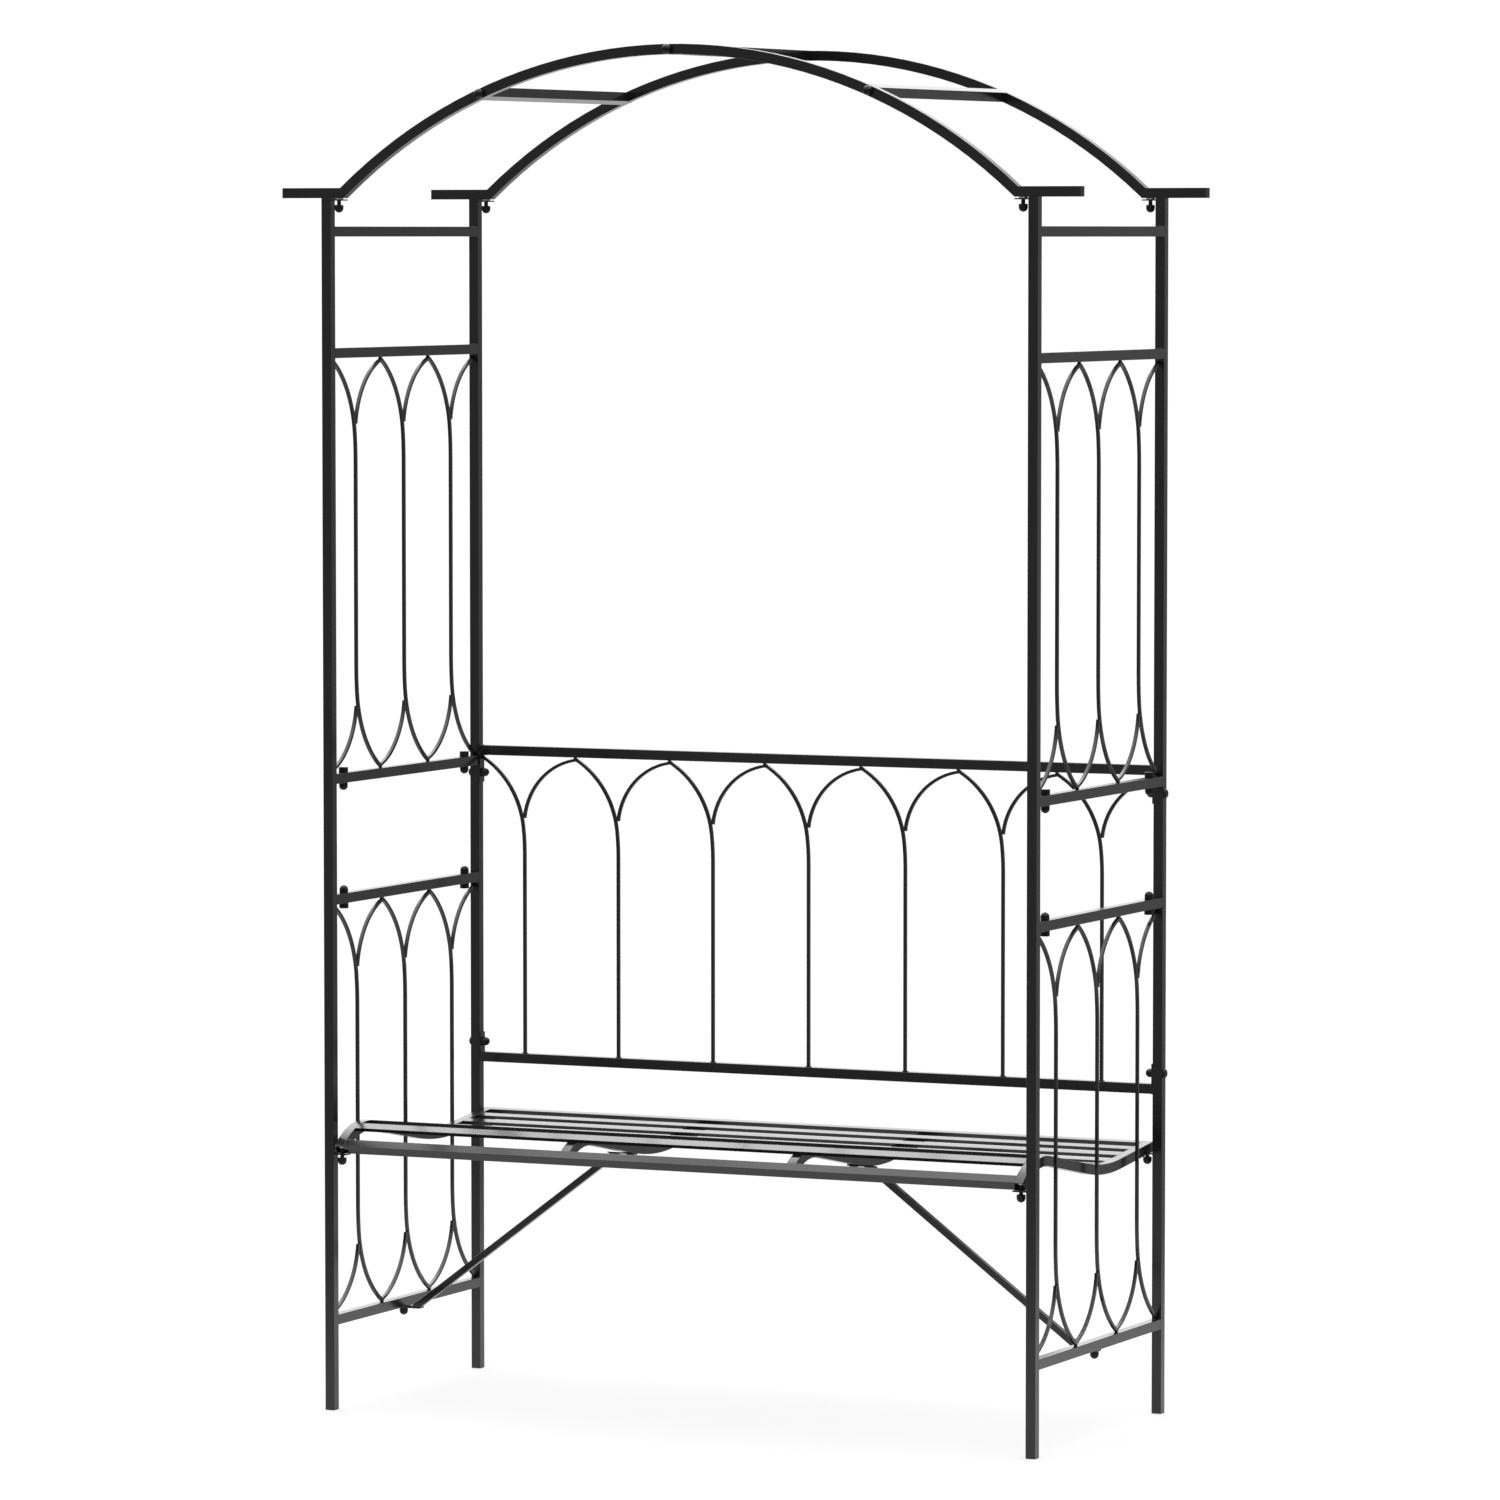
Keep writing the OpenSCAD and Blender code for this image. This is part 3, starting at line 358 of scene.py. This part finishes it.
def surface_material(name, color, edge_highlight_color, roughness, grain_size, grain_height, edge_radius,
                     metallic=0.0, specular=0.5, softness=0.0, cloud_scale=9.0):
    """A Principled material whose colour, roughness and normal come from the coated surface group."""
    if name in bpy.data.materials:
        return bpy.data.materials[name]
    material = bpy.data.materials.new(name)
    material.use_nodes = True
    nodes, links = material.node_tree.nodes, material.node_tree.links
    shader = nodes["Principled BSDF"]
    shader.inputs["Metallic"].default_value = metallic
    shader.inputs["Specular IOR Level"].default_value = specular
    surface = nodes.new("ShaderNodeGroup")
    surface.node_tree = coated_surface_group()
    # The edge colour set here is painted along the edges as a highlight.
    for label, value in (
        ("Color", (*color, 1)), ("Edge Color", (*edge_highlight_color, 1)), ("Roughness", roughness),
        ("Grain Scale", 1 / grain_size), ("Grain Height", grain_height), ("Cloud Scale", cloud_scale),
        ("Edge Radius", edge_radius), ("Softness", softness),
    ):
        surface.inputs[label].default_value = value
    links.new(surface.outputs["Color"], shader.inputs["Base Color"])
    links.new(surface.outputs["Roughness"], shader.inputs["Roughness"])
    links.new(surface.outputs["Normal"], shader.inputs["Normal"])
    return material


def coat_material(settings):
    own = settings.coat
    # Painted highlight: the coat's edges get the lighter edge colour.
    return surface_material("Black powder coat", own.color, own.edge_highlight_color, own.roughness,
                            grain_size=own.grain, grain_height=0.0025 * MM, edge_radius=own.edge_radius)


def fastener_material(settings):
    own = settings.fasteners
    # Painted highlight: (0.02, 0.02, 0.021) is a lighter colour painted along the fasteners' edges.
    return surface_material("Black fasteners", own.color, (0.02, 0.02, 0.021), own.roughness,
                            grain_size=0.8 * MM, grain_height=0.004 * MM, edge_radius=0.5 * MM,
                            specular=0.2, softness=1.0, cloud_scale=60)


def zinc_material(settings):
    own = settings.fasteners
    # Painted highlight: (0.7, 0.71, 0.72) is a lighter colour painted along the plated nuts' edges.
    return surface_material("Zinc plating", own.zinc_color, (0.7, 0.71, 0.72), roughness=0.38,
                            grain_size=0.5 * MM, grain_height=0.006 * MM, edge_radius=0.3 * MM,
                            metallic=1.0, cloud_scale=80)


def plug_material(settings):
    own = settings.plugs
    # Painted highlight: (0.012, 0.012, 0.012) is a lighter colour painted along the plugs' edges.
    return surface_material("Black moulded plastic", own.color, (0.012, 0.012, 0.012), roughness=0.5,
                            grain_size=0.35 * MM, grain_height=0.02 * MM, edge_radius=0.3 * MM,
                            cloud_scale=40)


def give(names, material):
    """Puts the material into every slot of the named CAD nodes."""
    for name in names:
        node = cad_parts[name]
        if not node.material_slots:
            node.data.materials.append(material)
        for place in node.material_slots:
            place.material = material


# ---- Operators ----------------------------------------------------------------------------------------

class ARCH_OT_coat_frame(Operator):
    """Gives the posts, arches, rails, tabs and braces their powder coat"""
    bl_idname = "garden_arch.coat_frame"
    bl_label = "Coat the frame"

    def execute(self, context):
        other = set(PLUG_NODES + HIDDEN_STEEL_NODES + FASTENER_NODES + INFILL_NODES + SEAT_NODES)
        give([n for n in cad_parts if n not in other], coat_material(context.scene.garden_arch))
        return {"FINISHED"}


class ARCH_OT_coat_infill(Operator):
    """Gives the bent bars of the sides and the backrest their powder coat"""
    bl_idname = "garden_arch.coat_infill"
    bl_label = "Coat the infill bars"

    def execute(self, context):
        give(INFILL_NODES, coat_material(context.scene.garden_arch))
        return {"FINISHED"}


class ARCH_OT_coat_seat(Operator):
    """Gives the seat's rails, slats and tabs their powder coat"""
    bl_idname = "garden_arch.coat_seat"
    bl_label = "Coat the seat"

    def execute(self, context):
        give(SEAT_NODES, coat_material(context.scene.garden_arch))
        return {"FINISHED"}


class ARCH_OT_finish_fasteners(Operator):
    """Blackens the visible screws and nuts, and plates the ones inside the tubes"""
    bl_idname = "garden_arch.finish_fasteners"
    bl_label = "Finish the fasteners"

    def execute(self, context):
        settings = context.scene.garden_arch
        give(FASTENER_NODES, fastener_material(settings))
        give(HIDDEN_STEEL_NODES, zinc_material(settings))
        return {"FINISHED"}


class ARCH_OT_mould_plugs(Operator):
    """Makes the moulded plugs in the posts' feet and the arches' ends"""
    bl_idname = "garden_arch.mould_plugs"
    bl_label = "Mould the plugs"

    def execute(self, context):
        settings = context.scene.garden_arch
        own = settings.plugs
        post = [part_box(f"post_{end}_{side}") for end in ("front", "rear") for side in ("left", "right")]
        half = (post[0][1][0] - post[0][0][0]) / 2
        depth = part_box("foot_plugs")[1][2]
        feet = [((lo[0] + hi[0]) / 2, (lo[1] + hi[1]) / 2, 0.0) for lo, hi in post]
        down = [(0, 0, -1)] * len(feet)
        rings = plug_rings(feet, down, half, own.edge, own.flange, depth)
        piece = tube_piece("foot_plug_mouldings", rings)
        piece.data.materials.append(plug_material(settings))
        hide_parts("foot_plugs")

        low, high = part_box("arch_end_plugs")
        middle_z = (low[2] + high[2]) / 2
        ends, outwards = [], []
        for x, out in ((low[0], -1), (high[0], 1)):
            for y in (low[1] + half, high[1] - half):
                ends.append((x, y, middle_z))
                outwards.append((out, 0, 0))
        rings = plug_rings(ends, outwards, half, own.edge, own.flange, depth)
        piece = tube_piece("arch_end_mouldings", rings)
        piece.data.materials.append(plug_material(settings))
        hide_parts("arch_end_plugs")
        return {"FINISHED"}


def rail_end_seams(rail, run):
    """Seams across the top and bottom of a rail's two ends, where it meets the posts. The rail runs along x
    for run of 0, and along y for run of 1."""
    low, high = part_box(rail)
    across = 1 - run
    seams = []
    for place in (low[run], high[run]):
        for z in (low[2], high[2]):
            start, stop = np.full(3, z), np.full(3, z)
            start[run] = stop[run] = place
            start[across], stop[across] = low[across] + BEAD_INSET, high[across] - BEAD_INSET
            seams.append((start, stop))
    return seams


def corner_tab_seams(tabs):
    """Seams under the corner tabs, along the inner face of each post."""
    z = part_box(tabs)[0][2]
    seams = []
    for end in ("front", "rear"):
        for side in ("left", "right"):
            low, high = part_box(f"post_{end}_{side}")
            x = high[0] if side == "left" else low[0]
            seams.append(((x, low[1] + BEAD_INSET, z), (x, high[1] - BEAD_INSET, z)))
    return seams


def bar_end_seams(rail, bars, half_length):
    """Short seams where the bars of the named nodes end on a rail. The bars' points within BAR_REACH of the
    rail's top or bottom face are sorted along the rail, and each run of them without a gap wider than BAR_GAP
    is one bar's end."""
    low, high = (np.array(c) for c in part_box(rail))
    run = int(np.argmax(high - low))
    across = 1 - run
    seams = []
    for node in bars:
        points = mesh_points(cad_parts[node])
        middle = (low[across] + high[across]) / 2 if run == 1 else points[:, across].mean()
        for z in (low[2], high[2]):
            near = np.sort(points[np.abs(points[:, 2] - z) < BAR_REACH][:, run])
            if not len(near):
                continue
            ends = np.split(near, np.flatnonzero(np.diff(near) > BAR_GAP) + 1)
            for end in ends:
                place = np.clip(end.mean(), low[run] + 2 * half_length, high[run] - 2 * half_length)
                start, stop = np.empty(3), np.empty(3)
                start[run], stop[run] = place - half_length, place + half_length
                start[across] = stop[across] = middle
                start[2] = stop[2] = z
                seams.append((start, stop))
    return seams


def mesh_points(node):
    """Every vertex of a CAD node as rows of x, y, z."""
    points = np.empty(len(node.data.vertices) * 3)
    node.data.vertices.foreach_get("co", points)
    return points.reshape(-1, 3)


class ARCH_OT_lay_welds(Operator):
    """Lays weld beads where the rails, tabs and bars are joined"""
    bl_idname = "garden_arch.lay_welds"
    bl_label = "Lay the weld beads"

    def execute(self, context):
        settings = context.scene.garden_arch
        own = settings.welds
        backrest_rails = ("backrest_top_rail", "backrest_bottom_rail")
        seams = []
        for side in ("left", "right"):
            for rail in ("top_rail", "upper_panel_top_rail", "lower_panel_bottom_rail"):
                seams += rail_end_seams(f"{side}_{rail}", run=1)
        for rail in backrest_rails:
            seams += rail_end_seams(rail, run=0)
        seams += corner_tab_seams("arch_tabs")

        half_length = own.fine_length / 2
        fine = []
        for side in ("left", "right"):
            for panel in ("upper", "lower"):
                bars = (f"{side}_{panel}_long_bars", f"{side}_{panel}_short_arcs")
                for rail in ("top_rail", "bottom_rail"):
                    fine += bar_end_seams(f"{side}_{panel}_panel_{rail}", bars, half_length)
        for rail in backrest_rails:
            fine += bar_end_seams(rail, ("backrest_long_bars", "backrest_short_arcs"), half_length)

        starts, ends = zip(*seams, *fine)
        radii = [own.bead] * len(seams) + [own.fine_bead] * len(fine)
        piece = tube_piece("weld_beads", bead_rings(starts, ends, radii, own.ripple))
        piece.data.materials.append(coat_material(settings))
        return {"FINISHED"}


class ARCH_OT_set_studio(Operator):
    """Sets the pale floor, the soft light and the camera"""
    bl_idname = "garden_arch.set_studio"
    bl_label = "Set the studio"

    def execute(self, context):
        scene = context.scene
        own = scene.garden_arch.studio
        set_floor(own)
        set_world(scene, own)
        set_camera(scene, own)
        scene.view_settings.view_transform = "Standard"
        scene.view_settings.look = "None"
        return {"FINISHED"}


def set_floor(own):
    """A flat disc of a plain matte colour. Its edge fades away softly, so that it has no visible rim."""
    turn = np.linspace(0, 2 * np.pi, FLOOR_POINTS, endpoint=False)
    rim = own.floor_radius
    points = np.stack([rim * np.cos(turn), rim * np.sin(turn), np.zeros_like(turn)], axis=1)
    mesh = bpy.data.meshes.new("studio_floor")
    mesh.from_pydata(points, [], [np.arange(len(turn)).tolist()])
    floor = bpy.data.objects.new("studio_floor", mesh)
    bpy.context.scene.collection.objects.link(floor)
    material = bpy.data.materials.new("Studio floor")
    material.use_nodes = True
    nodes, links = material.node_tree.nodes, material.node_tree.links
    shader = nodes["Principled BSDF"]
    shader.inputs["Base Color"].default_value = (*own.floor_color, 1)
    shader.inputs["Roughness"].default_value = 1.0
    shader.inputs["Specular IOR Level"].default_value = 0.0
    shader.inputs["Emission Color"].default_value = (1, 1, 1, 1)
    shader.inputs["Emission Strength"].default_value = own.floor_glow
    place = nodes.new("ShaderNodeTexCoord")
    away = nodes.new("ShaderNodeVectorMath")
    away.operation = "LENGTH"
    fade = nodes.new("ShaderNodeMapRange")
    fade.interpolation_type = "SMOOTHSTEP"
    fade.inputs["From Min"].default_value = rim
    fade.inputs["From Max"].default_value = rim * FLOOR_SOLID_SHARE
    links.new(place.outputs["Object"], away.inputs[0])
    links.new(away.outputs["Value"], fade.inputs["Value"])
    links.new(fade.outputs["Result"], shader.inputs["Alpha"])
    mesh.materials.append(material)


def set_world(scene, own):
    """Soft light from everywhere: white behind on the left, grey in front and behind on the right, and
    brightest above. Each part is a smooth step of the direction's x, y or z, and they are multiplied and
    added."""
    world = bpy.data.worlds.new("Studio")
    world.use_nodes = True
    nodes, links = world.node_tree.nodes, world.node_tree.links
    background = nodes["Background"]
    place = nodes.new("ShaderNodeTexCoord")
    split = nodes.new("ShaderNodeSeparateXYZ")
    links.new(place.outputs["Generated"], split.inputs["Vector"])

    def step(axis, start, end, low=0.0, high=1.0):
        """Goes smoothly from low to high while the direction's x, y or z goes from start to end."""
        node = nodes.new("ShaderNodeMapRange")
        node.interpolation_type = "SMOOTHSTEP"
        for label, value in (("From Min", start), ("From Max", end), ("To Min", low), ("To Max", high)):
            node.inputs[label].default_value = value
        links.new(split.outputs[axis], node.inputs["Value"])
        return node.outputs["Result"]

    def join(operation, first, second):
        node = nodes.new("ShaderNodeMath")
        node.operation = operation
        links.new(first, node.inputs[0])
        links.new(second, node.inputs[1])
        return node.outputs["Value"]

    left = step("X", 0.14, -0.28)
    behind = step("Y", 0.0, 0.6)
    white = step("Z", 0.03, 0.22, own.back_light, own.high_light)
    around = step("Z", 0.0, 0.2, own.front_light, own.front_light * FRONT_LIGHT_HIGH_SHARE)
    overhead = step("Z", 0.3, 0.8, 0.0, own.top_light)
    behind_left = join("MULTIPLY", join("MULTIPLY", left, behind), white)
    links.new(join("ADD", join("ADD", behind_left, around), overhead), background.inputs["Strength"])
    background.inputs["Color"].default_value = (1, 1, 1, 1)
    scene.world = world


def set_camera(scene, own):
    data = bpy.data.cameras.new("camera")
    data.lens = own.lens
    data.sensor_width = 36
    data.clip_end = 200
    camera = bpy.data.objects.new("camera", data)
    camera.location = own.camera_place
    camera.rotation_euler = (math.pi / 2 - own.camera_tilt, 0, own.camera_azimuth)
    scene.collection.objects.link(camera)
    scene.camera = camera


class ARCH_PT_panel(Panel):
    """Lists the arch's steps"""
    bl_idname = "ARCH_PT_panel"
    bl_label = "Garden arch"
    bl_space_type = "VIEW_3D"
    bl_region_type = "UI"
    bl_category = "Garden arch"

    def draw(self, context):
        for operator in OPERATORS:
            self.layout.operator(operator.bl_idname)


OPERATORS = (
    ARCH_OT_coat_frame, ARCH_OT_coat_infill, ARCH_OT_coat_seat, ARCH_OT_finish_fasteners,
    ARCH_OT_mould_plugs, ARCH_OT_lay_welds, ARCH_OT_set_studio,
)
SETTINGS = (
    ArchCoatSettings, ArchFastenerSettings, ArchPlugSettings, ArchWeldSettings, ArchStudioSettings,
    ArchSettings,
)


def register():
    for item in SETTINGS + OPERATORS + (ARCH_PT_panel,):
        bpy.utils.register_class(item)
    bpy.types.Scene.garden_arch = PointerProperty(type=ArchSettings)


def unregister():
    del bpy.types.Scene.garden_arch
    for item in reversed(SETTINGS + OPERATORS + (ARCH_PT_panel,)):
        bpy.utils.unregister_class(item)


def main():
    register()
    bpy.ops.garden_arch.coat_frame()
    bpy.ops.garden_arch.coat_infill()
    bpy.ops.garden_arch.coat_seat()
    bpy.ops.garden_arch.finish_fasteners()
    bpy.ops.garden_arch.mould_plugs()
    bpy.ops.garden_arch.lay_welds()
    bpy.ops.garden_arch.set_studio()


if __name__ == "__main__":
    main()
